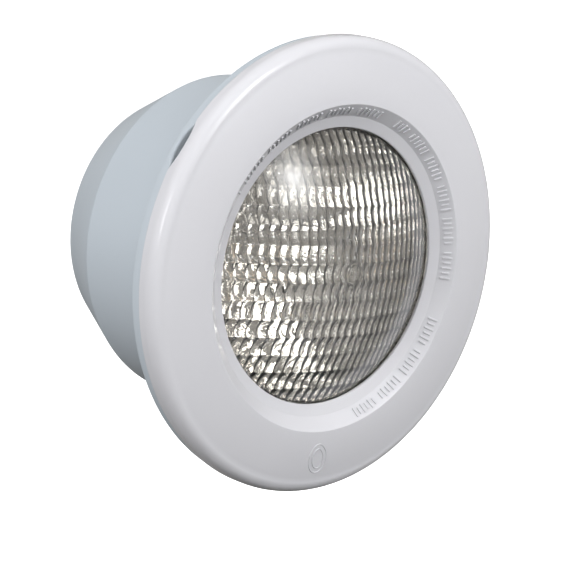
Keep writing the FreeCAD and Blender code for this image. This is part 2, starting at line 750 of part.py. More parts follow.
b = screw_group("clamp_screws", D("clamp_pcr"), 8, D("clamp_front_y"), D("clamp_head_len"), D("clamp_head_r"),
                D("clamp_shank_r"), D("clamp_end_y"), D("clamp_head_r") * 0.45, D("clamp_head_len") * 0.6)
turned(b, 22.5)
doc.recompute()

# ============================================================== the face ring
fr = new_body("face_ring")
sk = new_sketch(fr, "FaceProfile", "XY_Plane")
rwall = D("ring_wall")
fil_r = D("rim_fillet")
closed_profile(sk, [
    (D("open_r"), D("lip_y")),
    (D("lip_out_r"), D("lip_out_y")),
    (D("crown_r"), D("crown_y"), D("face_arc"), 1),
    (D("face_out_r"), D("face_out_y"), fil_r, 1),
    (D("rim_r"), D("face_out_y") + fil_r),
    (D("rim_r"), D("rim_back_y")),
    (D("rim_r") - rwall, D("rim_back_y")),
    (D("rim_r") - rwall, D("face_out_y") + fil_r, fil_r - rwall, -1),
    (D("face_out_r"), D("face_out_y") + rwall, D("face_arc"), -1),
    (D("crown_r") + 0.3, D("crown_y") + 2.45),
    (D("lip_out_r") + 1.25, D("lip_out_y") + 1.55),
    (D("open_r"), D("lip_y") + D("lip_wall")),
])
rev = revolve(fr, sk)
doc.recompute()
edges = (circle_edges(rev.Shape, VAL["crown_r"], VAL["crown_y"]) + circle_edges(rev.Shape, VAL["lip_out_r"], VAL["lip_out_y"])
         + circle_edges(rev.Shape, VAL["open_r"], VAL["lip_y"]))
fillet(fr, rev, edges, 0.8)
doc.recompute()
# eight straight snap tabs grip the edge of the lamp housing's flange
sk = new_sketch(fr, "TabSketch", "XZ_Plane", -D("tab_end_y"))
half = D("tab_width") / 2
outr = D("tab_in_r") + D("tab_wall")
closed_profile(sk, [
    (D("tab_in_r"), -half),
    (outr, -half),
    (outr, half),
    (D("tab_in_r"), half),
])
tab = pad(fr, sk, D("tab_end_y") - D("face_out_y") + 0.8)
doc.recompute()
polar(fr, [tab], 8)
doc.recompute()
# gussets tie each tab to the rim wall, under the face
sk = new_sketch(fr, "RibSketch", "XY_Plane")
closed_profile(sk, [
    (outr - 0.4, D("rim_back_y") - 2.5),
    (D("rim_r") - rwall + 0.4, D("rim_back_y") - 2.5),
    (D("rim_r") - rwall + 0.4, D("face_out_y") + fil_r - 1.0),
    (D("face_out_r") + 1.0, D("face_out_y") + rwall - 0.4),
    (outr - 0.4, D("face_out_y") + 0.2),
])
rib = pad(fr, sk, 1.8)
if "Midplane" in rib.PropertiesList:
    rib.Midplane = True
else:
    rib.SideType = "Symmetric"
doc.recompute()
polar(fr, [rib], 8)
doc.recompute()
# pry notch in the rim's back edge; the body is turned afterwards
turn = 22.5
na = math.radians(VAL["notch_angle"] - turn)
sk = new_sketch(fr, "NotchSketch", "XZ_Plane", -D("rim_back_y") - 1.0)
hw = D("notch_width") / 2


def at_angle(r, t, ang):
    r, t = q(r), q(t)
    return (r * math.cos(ang) - t * math.sin(ang), r * math.sin(ang) + t * math.cos(ang))


closed_profile(sk, [
    at_angle(D("rim_r") - 6.0, -hw, na),
    at_angle(D("rim_r") + 3.0, -hw, na),
    at_angle(D("rim_r") + 3.0, hw, na),
    at_angle(D("rim_r") - 6.0, hw, na),
])
vol_before = fr.Shape.Volume
pocket(fr, sk, D("notch_depth") + 1.0, to_front=True)
doc.recompute()
if fr.Shape.Volume >= vol_before:
    raise RuntimeError("the pry notch cut nothing")
turned(fr, turn)
doc.recompute()
# the flange is recessed behind the notch, so that a blade gets under the rim
nr = math.radians(VAL["notch_angle"])
sk = new_sketch(niche, "RecessSketch", "XZ_Plane", D("flange_wall") - D("recess_depth"))
closed_profile(sk, [
    at_angle(D("recess_in_r"), -hw, nr),
    at_angle(D("rim_r") + 3.0, -hw, nr),
    at_angle(D("rim_r") + 3.0, hw, nr),
    at_angle(D("recess_in_r"), hw, nr),
])
vol_before = niche.Shape.Volume
pocket(niche, sk, D("recess_depth") + 1.0, to_front=True)
doc.recompute()
if niche.Shape.Volume >= vol_before:
    raise RuntimeError("the flange's recess cut nothing")

# ------------------------------------------------------------ check and write
bad = []
for o in doc.Objects:
    if any(s in ("Invalid", "Error") for s in o.State):
        bad.append("%s %s" % (o.Name, o.State))
EXPECT = {"screw_inserts": 4, "mounting_screws": 4, "screw_washers": 4, "clamp_screws": 8,
          "filament_supports": 2, "lamp_ferrules": 2, "terminal_screws": 2}
for o in NODES:
    shp = o.Shape
    if shp.isNull() or not shp.isValid() or not shp.Solids:
        bad.append("%s has no valid shape" % o.Label)
    elif len(shp.Solids) != EXPECT.get(o.Label, 1):
        bad.append("%s has %d solids" % (o.Label, len(shp.Solids)))
if bad:
    raise RuntimeError("; ".join(bad))
os.makedirs("parts", exist_ok=True)
for o in NODES:
    o.Shape.exportStep("parts/%s.step" % o.Label)
    bb = o.Shape.optimalBoundingBox(False)
    print("%-24s solids %d  vol %9.1f  x %7.1f %7.1f  y %7.1f %7.1f  z %7.1f %7.1f" % (
        o.Label, len(o.Shape.Solids), o.Shape.Volume, bb.XMin, bb.XMax, bb.YMin, bb.YMax, bb.ZMin, bb.ZMax))
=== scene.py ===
import bpy
import bmesh
import json
import math
import numpy as np
from mathutils import Matrix, Vector

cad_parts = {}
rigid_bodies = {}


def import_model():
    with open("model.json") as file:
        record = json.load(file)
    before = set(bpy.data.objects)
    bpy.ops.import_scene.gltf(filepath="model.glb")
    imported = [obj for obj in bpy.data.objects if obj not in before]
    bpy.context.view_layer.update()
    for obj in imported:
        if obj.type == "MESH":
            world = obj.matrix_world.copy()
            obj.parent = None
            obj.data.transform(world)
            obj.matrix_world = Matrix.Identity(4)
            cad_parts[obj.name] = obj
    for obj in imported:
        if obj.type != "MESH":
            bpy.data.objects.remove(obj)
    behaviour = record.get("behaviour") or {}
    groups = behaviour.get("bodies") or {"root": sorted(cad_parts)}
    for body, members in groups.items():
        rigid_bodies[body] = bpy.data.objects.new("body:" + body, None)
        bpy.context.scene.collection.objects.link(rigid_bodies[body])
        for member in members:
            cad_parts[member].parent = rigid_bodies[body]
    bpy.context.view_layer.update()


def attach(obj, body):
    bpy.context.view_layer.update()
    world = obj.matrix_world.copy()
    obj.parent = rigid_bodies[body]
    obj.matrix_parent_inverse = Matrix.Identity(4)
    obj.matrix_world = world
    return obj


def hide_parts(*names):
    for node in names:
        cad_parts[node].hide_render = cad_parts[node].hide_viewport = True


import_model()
scene = bpy.context.scene
TAU = 2 * math.pi

# Lengths in this file are millimetres until P() or a division by 1000 turns them into metres.
# r is the distance from the lamp's axis, d the distance in front of the wall
# plane (row Y = -d), and angles run counter-clockwise seen from the pool.
OPENING_D = 16.5


def clamp01(x):
    return max(0.0, min(1.0, x))


# ------------------------------------------------------------------ materials
def new_mat(name):
    m = bpy.data.materials.new(name)
    m.use_nodes = True
    nt = m.node_tree
    for n in list(nt.nodes):
        nt.nodes.remove(n)
    out = nt.nodes.new("ShaderNodeOutputMaterial")
    b = nt.nodes.new("ShaderNodeBsdfPrincipled")
    nt.links.new(b.outputs["BSDF"], out.inputs["Surface"])
    return m, nt, b


def noise(nt, coord, scale, detail=3.0, rough=0.5, dim="3D"):
    n = nt.nodes.new("ShaderNodeTexNoise")
    n.noise_dimensions = dim
    n.inputs["Scale"].default_value = scale
    n.inputs["Detail"].default_value = detail
    n.inputs["Roughness"].default_value = rough
    nt.links.new(coord, n.inputs["Vector"])
    return n


def ramp(nt, fac, stops):
    r = nt.nodes.new("ShaderNodeValToRGB")
    els = r.color_ramp.elements
    while len(els) < len(stops):
        els.new(0.5)
    for e, (p, c) in zip(els, stops):
        e.position = p
        e.color = (c[0], c[1], c[2], 1.0) if not isinstance(c, (int, float)) else (c, c, c, 1.0)
    nt.links.new(fac, r.inputs["Fac"])
    return r


def bump(nt, bsdf, height, strength, distance, prev=None):
    bp = nt.nodes.new("ShaderNodeBump")
    bp.inputs["Strength"].default_value = strength
    bp.inputs["Distance"].default_value = distance
    nt.links.new(height, bp.inputs["Height"])
    if prev is not None:
        nt.links.new(prev.outputs["Normal"], bp.inputs["Normal"])
    nt.links.new(bp.outputs["Normal"], bsdf.inputs["Normal"])
    return bp


def coords(nt):
    return nt.nodes.new("ShaderNodeTexCoord").outputs["Object"]


def plastic(name, base, rough, spread=0.03, grain=0.00002, grain_scale=900.0, coat=0.0, specular=0.5, sss=0.0,
            wave=0.0):
    """Moulded plastic: faint colour drift, uneven gloss and a fine skin."""
    m, nt, b = new_mat(name)
    c = coords(nt)
    drift = noise(nt, c, 9.0, 2.0)
    lo = [clamp01(v * (1 - spread)) for v in base]
    hi = [clamp01(v * (1 + spread)) for v in base]
    col = ramp(nt, drift.outputs["Fac"], [(0.3, lo), (0.7, hi)])
    nt.links.new(col.outputs["Color"], b.inputs["Base Color"])
    g = noise(nt, c, 40.0, 3.0)
    rr = ramp(nt, g.outputs["Fac"], [(0.25, clamp01(rough * 0.85)), (0.75, clamp01(rough * 1.2))])
    nt.links.new(rr.outputs["Color"], b.inputs["Roughness"])
    fine = noise(nt, c, grain_scale, 2.0)
    bp = bump(nt, b, fine.outputs["Fac"], 0.35, grain)
    if wave:
        w = noise(nt, c, 22.0, 1.0)
        bump(nt, b, w.outputs["Fac"], 0.5, wave, prev=bp)
    b.inputs["Specular IOR Level"].default_value = specular
    b.inputs["Coat Weight"].default_value = coat
    b.inputs["Coat Roughness"].default_value = 0.08
    if sss:
        b.inputs["Subsurface Weight"].default_value = sss
        b.inputs["Subsurface Radius"].default_value = (0.004, 0.004, 0.004)
        b.inputs["Subsurface Scale"].default_value = 0.3
    return m


def metal(name, base, rough, brushed=True, scale=(300.0, 300.0, 18.0)):
    m, nt, b = new_mat(name)
    c = coords(nt)
    mp = nt.nodes.new("ShaderNodeMapping")
    mp.inputs["Scale"].default_value = scale
    nt.links.new(c, mp.inputs["Vector"])
    n = noise(nt, mp.outputs["Vector"], 6.0, 4.0)
    col = ramp(nt, n.outputs["Fac"], [(0.25, [v * 0.82 for v in base]), (0.75, [clamp01(v * 1.08) for v in base])])
    nt.links.new(col.outputs["Color"], b.inputs["Base Color"])
    rr = ramp(nt, n.outputs["Fac"], [(0.2, rough * 0.7), (0.8, clamp01(rough * 1.35))])
    nt.links.new(rr.outputs["Color"], b.inputs["Roughness"])
    b.inputs["Metallic"].default_value = 1.0
    if brushed:
        bump(nt, b, n.outputs["Fac"], 0.25, 0.00004)
    return m


MAT = {}
MAT["face_plastic"] = plastic("abs_white_gloss", (0.640, 0.640, 0.672), 0.15, spread=0.012, grain=0.000005,
                              grain_scale=700.0, coat=0.15, specular=0.5, wave=0.00002)
MAT["niche_plastic"] = plastic("abs_blue_grey", (0.500, 0.552, 0.602), 0.42, spread=0.03, grain=0.00003,
                               grain_scale=1200.0, wave=0.00004)
MAT["housing_plastic"] = plastic("abs_housing", (0.62, 0.62, 0.61), 0.38, spread=0.02, grain=0.00003)
MAT["gland_plastic"] = plastic("nylon_black", (0.030, 0.030, 0.033), 0.42, spread=0.2, grain=0.00006,
                               grain_scale=1500.0)
MAT["rubber"] = plastic("rubber_black", (0.022, 0.022, 0.023), 0.68, spread=0.25, grain=0.00008, grain_scale=1800.0,
                        specular=0.3)
MAT["gasket_rubber"] = plastic("silicone_grey", (0.035, 0.036, 0.036), 0.60, spread=0.2, grain=0.00006,
                               grain_scale=1600.0, specular=0.35)
MAT["stainless"] = metal("stainless", (0.62, 0.61, 0.59), 0.26)
MAT["brass"] = metal("brass_turned", (0.72, 0.53, 0.24), 0.24)
MAT["tungsten"] = metal("tungsten_wire", (0.30, 0.30, 0.31), 0.35)
MAT["support_wire"] = metal("support_wire", (0.48, 0.47, 0.45), 0.30)
MAT["ferrule_metal"] = metal("ferrule_cup", (0.60, 0.60, 0.61), 0.34)


def glass_mat():
    m, nt, b = new_mat("pressed_glass")
    b.inputs["Base Color"].default_value = (0.985, 0.980, 0.966, 1)
    b.inputs["Transmission Weight"].default_value = 1.0
    b.inputs["IOR"].default_value = 1.50
    c = coords(nt)
    n = noise(nt, c, 60.0, 2.0)
    rr = ramp(nt, n.outputs["Fac"], [(0.3, 0.0), (0.7, 0.012)])
    nt.links.new(rr.outputs["Color"], b.inputs["Roughness"])
    f = noise(nt, c, 320.0, 2.0)
    bump(nt, b, f.outputs["Fac"], 0.25, 0.00006)
    b.inputs["Coat Weight"].default_value = 0.6
    b.inputs["Coat Roughness"].default_value = 0.22
    return m


def silver_mat():
    m, nt, b = new_mat("vacuum_aluminium")
    c = coords(nt)
    n = noise(nt, c, 35.0, 2.0)
    col = ramp(nt, n.outputs["Fac"], [(0.3, (0.80, 0.79, 0.77)), (0.7, (0.91, 0.90, 0.88))])
    nt.links.new(col.outputs["Color"], b.inputs["Base Color"])
    rr = ramp(nt, n.outputs["Fac"], [(0.3, 0.015), (0.7, 0.05)])
    nt.links.new(rr.outputs["Color"], b.inputs["Roughness"])
    b.inputs["Metallic"].default_value = 1.0
    w = noise(nt, c, 55.0, 1.0)
    bp = bump(nt, b, w.outputs["Fac"], 0.5, 0.0010)
    w2 = noise(nt, c, 190.0, 1.0)
    bump(nt, b, w2.outputs["Fac"], 0.4, 0.0003, prev=bp)
    return m


MAT["lens_glass"] = glass_mat()
MAT["silver"] = silver_mat()
MAT["silvered_glass"] = plastic("reflector_back", (0.36, 0.37, 0.37), 0.30, spread=0.08, grain=0.00004, coat=0.4)

# -------------------------------------------------------------- mesh helpers


def P(r, d, ang):
    """Row-frame point in metres from a radius and a forward distance in mm."""
    return (r * math.cos(ang) / 1000.0, -d / 1000.0, r * math.sin(ang) / 1000.0)


def rounded(points, closed=True, n=5):
    """Polyline with its corners rounded: a point is (r, d) or (r, d, radius)."""
    out = []
    m = len(points)
    for i, p in enumerate(points):
        rad = p[2] if len(p) > 2 else 0.0
        cur = np.array(p[:2], float)
        if rad <= 0 or (not closed and i in (0, m - 1)):
            out.append(tuple(cur))
            continue
        a = np.array(points[i - 1][:2], float)
        b = np.array(points[(i + 1) % m][:2], float)
        u = (a - cur) / np.linalg.norm(a - cur)
        v = (b - cur) / np.linalg.norm(b - cur)
        ang = math.acos(max(-1.0, min(1.0, float(u @ v))))
        if ang > math.pi - 0.02:
            out.append(tuple(cur))
            continue
        t = rad / math.tan(ang / 2)
        t = min(t, 0.48 * np.linalg.norm(a - cur), 0.48 * np.linalg.norm(b - cur))
        rad = t * math.tan(ang / 2)
        bis = (u + v) / np.linalg.norm(u + v)
        c = cur + bis * rad / math.sin(ang / 2)
        s, e = cur + u * t, cur + v * t
        a0 = math.atan2(s[1] - c[1], s[0] - c[0])
        a1 = math.atan2(e[1] - c[1], e[0] - c[0])
        da = (a1 - a0 + math.pi) % TAU - math.pi
        for k in range(n + 1):
            w = a0 + da * k / n
            out.append((c[0] + rad * math.cos(w), c[1] + rad * math.sin(w)))
    return out


def arc_pts(p, q, radius, side, n, ends=False):
    """Points on the arc from p to q; side +1 puts the centre on the left."""
    p, q = np.array(p, float), np.array(q, float)
    c = np.linalg.norm(q - p)
    h = math.sqrt(max(radius ** 2 - c * c / 4, 0))
    nl = np.array([-(q - p)[1], (q - p)[0]]) / c
    o = (p + q) / 2 + side * h * nl
    a0 = math.atan2(p[1] - o[1], p[0] - o[0])
    a1 = math.atan2(q[1] - o[1], q[0] - o[0])
    da = (a1 - a0 + math.pi) % TAU - math.pi
    ks = range(0, n + 1) if ends else range(1, n)
    return [(o[0] + radius * math.cos(a0 + da * k / n), o[1] + radius * math.sin(a0 + da * k / n)) for k in ks]


def lathe_mesh(name, prof, seg=256, closed=True, warp=None):
    """Turns a profile of (r, d) round the lamp's axis. A point with r = 0 is a
    pole. warp(r, d, angle) may move a point."""
    verts, faces, rows = [], [], []
    for (r, d) in prof:
        if r < 1e-6:
            rows.append([len(verts)])
            verts.append((0, -d / 1000.0, 0))
        else:
            row = []
            for k in range(seg):
                a = TAU * k / seg
                rr, dd = warp(r, d, a) if warp else (r, d)
                row.append(len(verts))
                verts.append(P(rr, dd, a))
            rows.append(row)
    n = len(rows)
    for i in range(n if closed else n - 1):
        A, B = rows[i], rows[(i + 1) % n]
        if len(A) == 1 and len(B) == 1:
            continue
        for k in range(seg):
            k2 = (k + 1) % seg
            if len(A) == 1:
                faces.append((A[0], B[k2], B[k]))
            elif len(B) == 1:
                faces.append((A[k], A[k2], B[0]))
            else:
                faces.append((A[k], A[k2], B[k2], B[k]))
    me = bpy.data.meshes.new(name)
    me.from_pydata(verts, [], faces)
    me.validate()
    return me


def finish_mesh(me, sharp=32.0, fix_normals=True):
    bm = bmesh.new()
    bm.from_mesh(me)
    bmesh.ops.remove_doubles(bm, verts=bm.verts, dist=1e-7)
    if fix_normals:
        bmesh.ops.recalc_face_normals(bm, faces=bm.faces)
    bm.to_mesh(me)
    bm.free()
    me.shade_smooth()
    me.set_sharp_from_angle(angle=math.radians(sharp))
    return me


def obj_from(me, name, mat):
    o = bpy.data.objects.new(name, me)
    scene.collection.objects.link(o)
    o.data.materials.clear()
    o.data.materials.append(mat)
    return o


def boolean(target, cutter, op):
    md = target.modifiers.new("b", "BOOLEAN")
    md.operation = op
    md.solver = "EXACT"
    md.object = cutter
    dg = bpy.context.evaluated_depsgraph_get()
    me = bpy.data.meshes.new_from_object(target.evaluated_get(dg))
    target.modifiers.clear()
    old = target.data
    target.data = me
    bpy.data.meshes.remove(old)
    bpy.data.objects.remove(cutter)
    return target


def cylinder_at(x, z, d0, d1, r, seg=48, bevel=0.0):
    """Closed cylinder along the row's Y between two forward distances."""
    lo, hi = min(d0, d1), max(d0, d1)
    prof = [(0, hi), (r - bevel, hi), (r, hi - bevel), (r, lo + bevel), (r - bevel, lo), (0, lo)] if bevel else \
        [(0, hi), (r, hi), (r, lo), (0, lo)]
    me = lathe_mesh("cyl", prof, seg, closed=False)
    me.transform(Matrix.Translation((x / 1000.0, 0, z / 1000.0)))
    finish_mesh(me)
    o = bpy.data.objects.new("cyl", me)
    scene.collection.objects.link(o)
    return o


def join_bmesh(meshes, name):
    bm = bmesh.new()
    for me in meshes:
        bm.from_mesh(me)
    out = bpy.data.meshes.new(name)
    bm.to_mesh(out)
    bm.free()
    for me in meshes:
        bpy.data.meshes.remove(me)
    return out


# ------------------------------------------------------------------ face ring
CROWN = (100.1, 25.8)
FACE_OUT = (132.0, 20.9)
COLLAR_IN = (92.15, 18.7)
NOTCH_A = math.radians(147.6)
NOTCH_HALF = math.radians(6.6)


def ring_warp(r, d, a):
    # pry notch: the rim's back edge lifts over a short arc
    if r > 133.0 and d < 12.3:
        t = abs((a - NOTCH_A + math.pi) % TAU - math.pi) / NOTCH_HALF
        if t < 1.0:
            lift = 3.2 * (1 - t ** 2.4)
            floor_d = 7.9 + lift
            if d < 12.3:
                d = floor_d + (d - 7.9) * (12.3 - floor_d) / (12.3 - 7.9)
    return r, d


face_arc = arc_pts(CROWN, FACE_OUT, 170.0, -1, 14)
corner = arc_pts(FACE_OUT, (140.0, 12.9), 8.0, -1, 14)
corner_in = arc_pts((137.6, 12.9), (132.0, 18.5), 5.6, 1, 8)
face_in = arc_pts((132.0, 18.5), (100.4, 23.35), 170.0, 1, 8)
prof = rounded([(85.0, 15.4), (85.0, 16.5, 0.8), (COLLAR_IN[0], COLLAR_IN[1], 0.8), (CROWN[0], CROWN[1], 0.8),
                face_arc[1]], closed=False, n=7)
prof = prof[:-1] + face_arc[1:] + [FACE_OUT] + corner + [(140.0, 12.9), (140.0, 12.0), (140.0, 11.0), (140.0, 10.0), (140.0, 9.0)]
prof += rounded([(140.0, 9.0), (140.0, 7.9, 0.8), (137.6, 7.9, 0.4), (137.6, 9.0)], closed=False, n=4)[1:]
prof += [(137.6, 10.0), (137.6, 11.0), (137.6, 12.0), (137.6, 12.9)] + corner_in + [(132.0, 18.5)] + face_in
prof += rounded([(108.0, 22.35), (100.4, 23.35, 1.0), (93.4, 17.15, 1.5), (85.0, 14.6, 0.4), (85.0, 15.4)], closed=False, n=4)[1:-1]
ring_me = lathe_mesh("face_ring", prof, 384, closed=True, warp=ring_warp)


def bar_mesh(name, cr, cd, ang, half_r, half_t, height, slope=(1.0, 0.0), bevel=0.3):
    """A small raised bar lying on a cone: slope is the (dr, dd) direction of
    its length; it stands out along the cone's normal."""
    L = np.array(slope) / np.linalg.norm(slope)
    N = np.array([-L[1], L[0]])
    if N[1] < 0:
        N = -N
    verts, faces = [], []
    for (hh, inset) in ((-0.35, 0.0), (height - bevel * 0.6, 0.0), (height, bevel)):
        for (sl, st) in ((-1, -1), (1, -1), (1, 1), (-1, 1)):
            l = sl * (half_r - inset)
            t = st * (half_t - inset * 0.8)
            r = cr + L[0] * l + N[0] * hh
            d = cd + L[1] * l + N[1] * hh
            aa = ang + t / cr
            verts.append(P(r, d, aa))
    for k in range(2):
        for j in range(4):
            j2 = (j + 1) % 4
            faces.append((4 * k + j, 4 * k + j2, 4 * k + 4 + j2, 4 * k + 4 + j))
    faces.append((3, 2, 1, 0))
    faces.append((8, 9, 10, 11))
    me = bpy.data.meshes.new(name)
    me.from_pydata(verts, [], faces)
    return me


def prism_mesh(poly_rd, half_t, ang, name="prism"):
    """A web in a radial plane: polygon of (r, d), thickness 2*half_t."""
    verts, faces = [], []
    ca, sa = math.cos(ang), math.sin(ang)
    for s in (-1, 1):
        for (r, d) in poly_rd:
            verts.append(((r * ca - s * half_t * sa) / 1000.0, -d / 1000.0, (r * sa + s * half_t * ca) / 1000.0))
    n = len(poly_rd)
    faces.append(tuple(range(n - 1, -1, -1)))
    faces.append(tuple(range(n, 2 * n)))
    for k in range(n):
        k2 = (k + 1) % n
        faces.append((k, k2, n + k2, n + k))
    me = bpy.data.meshes.new(name)
    me.from_pydata(verts, [], faces)
    return me


parts = [ring_me]
for k in range(8):
    a = math.radians(22.5 + 45 * k)
    # snap tab, a short curved finger
    verts, faces = [], []
    steps = 6
    for j in range(steps + 1):
        t = (j / steps - 0.5) * 16.0
        for (r, d) in ((122.3, 8.7), (122.6, 8.4), (124.4, 8.4), (124.7, 8.7), (124.7, 20.4), (122.3, 20.8)):
            ca, sa = math.cos(a), math.sin(a)
            verts.append(((r * ca - t * sa) / 1000.0, -d / 1000.0, (r * sa + t * ca) / 1000.0))
    for j in range(steps):
        for q in range(6):
            q2 = (q + 1) % 6
            faces.append((6 * j + q, 6 * j + q2, 6 * (j + 1) + q2, 6 * (j + 1) + q))
    faces.append(tuple(range(5, -1, -1)))
    faces.append(tuple(range(6 * steps, 6 * steps + 6)))
    me = bpy.data.meshes.new("tab")
    me.from_pydata(verts, [], faces)
    parts.append(me)
    parts.append(prism_mesh([(124.3, 10.4), (138.0, 10.4), (138.0, 13.9), (133.0, 18.9), (124.3, 20.7)], 0.9, a))
ring_me = join_bmesh(parts, "face_ring")
finish_mesh(ring_me, 40.0)
ring = obj_from(ring_me, "face_ring_trim", MAT["face_plastic"])
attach(ring, "face")
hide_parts("face_ring")

# plain raised ticks on the sloping collar, in the arcs where the real ring
# carries embossed wording, and a plain double oval at its foot
marks = []
slope = (CROWN[0] - COLLAR_IN[0], CROWN[1] - COLLAR_IN[1])
mid = ((CROWN[0] + COLLAR_IN[0]) / 2, (CROWN[1] + COLLAR_IN[1]) / 2)


def tick_arc(a0, a1, step):
    n = int(round((a1 - a0) / step))
    for i in range(n + 1):
        a = math.radians(a0 + (a1 - a0) * i / n)
        if i % 7 == 6:
            continue
        long = 3.1 if i % 2 == 0 else 2.3
        marks.append(bar_mesh("tick", mid[0], mid[1], a, long, 0.60, 0.85, slope, 0.16))


tick_arc(-6.0, 66.0, 1.9)
tick_arc(-72.0, -22.0, 1.9)
tick_arc(76.0, 150.0, 2.1)


def oval_outline(cr, cang, half_w, half_h, wid, height, tilt, seg=64):
    """Raised outline on the ring's face."""
    verts, faces = [], []
    for k in range(seg):
        a = TAU * k / seg
        for (off, hh) in ((-wid, -0.3), (-wid * 0.6, height), (wid * 0.6, height), (wid, -0.3)):
            u = (half_w + off) * math.cos(a)
            v = (half_h + off) * math.sin(a)
            x = u * math.cos(tilt) - v * math.sin(tilt)
            y = u * math.sin(tilt) + v * math.cos(tilt)
            r = cr + y
            ang = cang + x / cr
            # height of the ring's face at this radius
            t = (r - CROWN[0]) / (FACE_OUT[0] - CROWN[0])
            dd = CROWN[1] + (FACE_OUT[1] - CROWN[1]) * t + 0.75 * 4 * t * (1 - t)
            verts.append(P(r, dd + hh, ang))
    for k in range(seg):
        k2 = (k + 1) % seg
        for q in range(4):
            q2 = (q + 1) % 4
            faces.append((4 * k + q, 4 * k + q2, 4 * k2 + q2, 4 * k2 + q))
    me = bpy.data.meshes.new("oval")
    me.from_pydata(verts, [], faces)
    return me


marks.append(oval_outline(117.5, math.radians(270.0), 7.0, 9.4, 0.50, 0.45, math.radians(-12)))
marks.append(oval_outline(117.5, math.radians(270.0), 4.2, 6.4, 0.42, 0.45, math.radians(-12)))
marks_me = join_bmesh(marks, "face_ring_marks")
finish_mesh(marks_me, 30.0)
marks_o = obj_from(marks_me, "face_ring_marks", MAT["face_plastic"])
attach(marks_o, "face")

# ---------------------------------------------------------------- niche shell
prof = rounded([
    (138.5, 7.5, 1.4), (138.5, 0.0, 0.9), (102.3, 0.0, 1.5), (102.3, -89.5, 3.5), (81.0, -134.5, 3.0), (0.0, -134.5),
    (0.0, -131.5), (78.0, -131.5, 2.0), (99.3, -89.5, 3.0), (99.3, 7.5, 0.8), (127.0, 7.5), (128.2, 7.5)], closed=True, n=5)


def niche_warp(r, d, a):
    # the flange's front edge is recessed behind the ring's pry notch
    if r > 128.0 and d > 3.0:
        t = abs((a - NOTCH_A + math.pi) % TAU - math.pi) / NOTCH_HALF
        if t < 1.0:
            d = d - 3.4 * (1 - t ** 2.4) * clamp01((d - 3.0) / 2.0)
    return r, d


niche_me = lathe_mesh("niche_shell", prof, 384, closed=True, warp=niche_warp)
finish_mesh(niche_me, 40.0)
niche = obj_from(niche_me, "niche_pot", MAT["niche_plastic"])
for k in range(4):
    a = math.pi / 2 * k
    niche = boolean(niche, cylinder_at(116 * math.cos(a), 116 * math.sin(a), -12.0, 1.0, 6.5, 48, 0.6), "UNION")
for k in range(4):
    a = math.pi / 2 * k
    niche = boolean(niche, cylinder_at(116 * math.cos(a), 116 * math.sin(a), -10.0, 9.0, 4.0), "DIFFERENCE")
    b = a + math.pi / 4
    niche = boolean(niche, cylinder_at(131 * math.cos(b), 131 * math.sin(b), -2.0, 9.0, 2.75), "DIFFERENCE")
niche = boolean(niche, cylinder_at(0, 38.0, -140.0, -125.0, 10.2), "DIFFERENCE")
finish_mesh(niche.data, 40.0, fix_normals=False)
niche.data.materials.clear()
niche.data.materials.append(MAT["niche_plastic"])
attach(niche, "niche")
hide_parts("niche_shell")

# ----------------------------------------------------------------- reflector
F = 21.85
VERTEX_D = -73.5


def refl_r(d, off=0.0):
    return math.sqrt(max(4 * F * (d - VERTEX_D), 0)) + off


inner = [(83.6, 8.6), (83.6, 5.6)]
ds = list(np.linspace(5.0, -68.0, 60))
inner += [(min(refl_r(d), 83.6), d) for d in ds]
inner += [(inner[-1][0] * 0.75, -68.6), (0.0, -69.0)]
outer = [(0.0, -71.5), (19.0, -71.5)] + [(min(refl_r(d) + 3.0, 86.0), d - 2.2) for d in reversed(ds)]
outer = [(r, d) for (r, d) in outer if d < 2.7] + [(86.0, 3.4), (86.0, 6.6), (86.6, 6.9), (89.0, 6.9), (89.0, 8.6)]
refl_me = lathe_mesh("lamp_reflector", inner + outer, 192, closed=True)
finish_mesh(refl_me, 40.0)
refl = obj_from(refl_me, "lamp_reflector_glass", MAT["silvered_glass"])
refl.data.materials.append(MAT["silver"])
for p in refl.data.polygons:
    c = p.center
    r = math.hypot(c.x, c.z) * 1000
    d = -c.y * 1000
    facing = p.normal.y * -1.0 * 0.3 + (-(p.normal.x * c.x + p.normal.z * c.z) / max(1e-6, math.hypot(c.x, c.z)))
    if facing > 0.0 and r < 83.7 and d < 8.7 and r < refl_r(d) + 1.2:
        p.material_index = 1
    elif r < 19 and d > -70.2:
        p.material_index = 1
for k in (-1, 1):
    refl = boolean(refl, cylinder_at(12.0 * k, 0, -80.0, -60.0, 1.4, 24), "DIFFERENCE")
finish_mesh(refl.data, 40.0, fix_normals=False)
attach(refl, "lamp")
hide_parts("lamp_reflector")

# ---------------------------------------------------------------------- lens
# pressed lens: a plain dome outside, rows of small cushion prisms inside
PITCH = 6.0
BAND = 11.2
DOME_R, APEX = 155.0, 39.0
INNER_R = 151.5
THICK = 3.5


def dome_d(r, R=DOME_R, apex=APEX):
    return apex - (R - math.sqrt(max(R * R - r * r, 0)))


def band_profile(z):
    """Cross bands: each row of cushions bows a little differently."""
    row = math.floor(z / BAND + 0.5)
    t = z / BAND - (row - 0.5)
    s = 4 * t * (1 - t)
    return (1.75, 1.15, 1.5)[row % 3] * s


def flute_profile(x, z):
    ph = x / PITCH + 0.5
    t = ph - math.floor(ph)
    return 1.0 * 4 * t * (1 - t)


def lens_depth(x, z):
    """How far the inner face stands behind a plain inner dome (mm)."""
    r = math.hypot(x, z)
    edge = clamp01((84.2 - r) / 2.5)
    boss = 0.45 + 0.55 * clamp01((r - 6.8) / 0.8)
    return (flute_profile(x, z) + band_profile(z)) * edge * boss


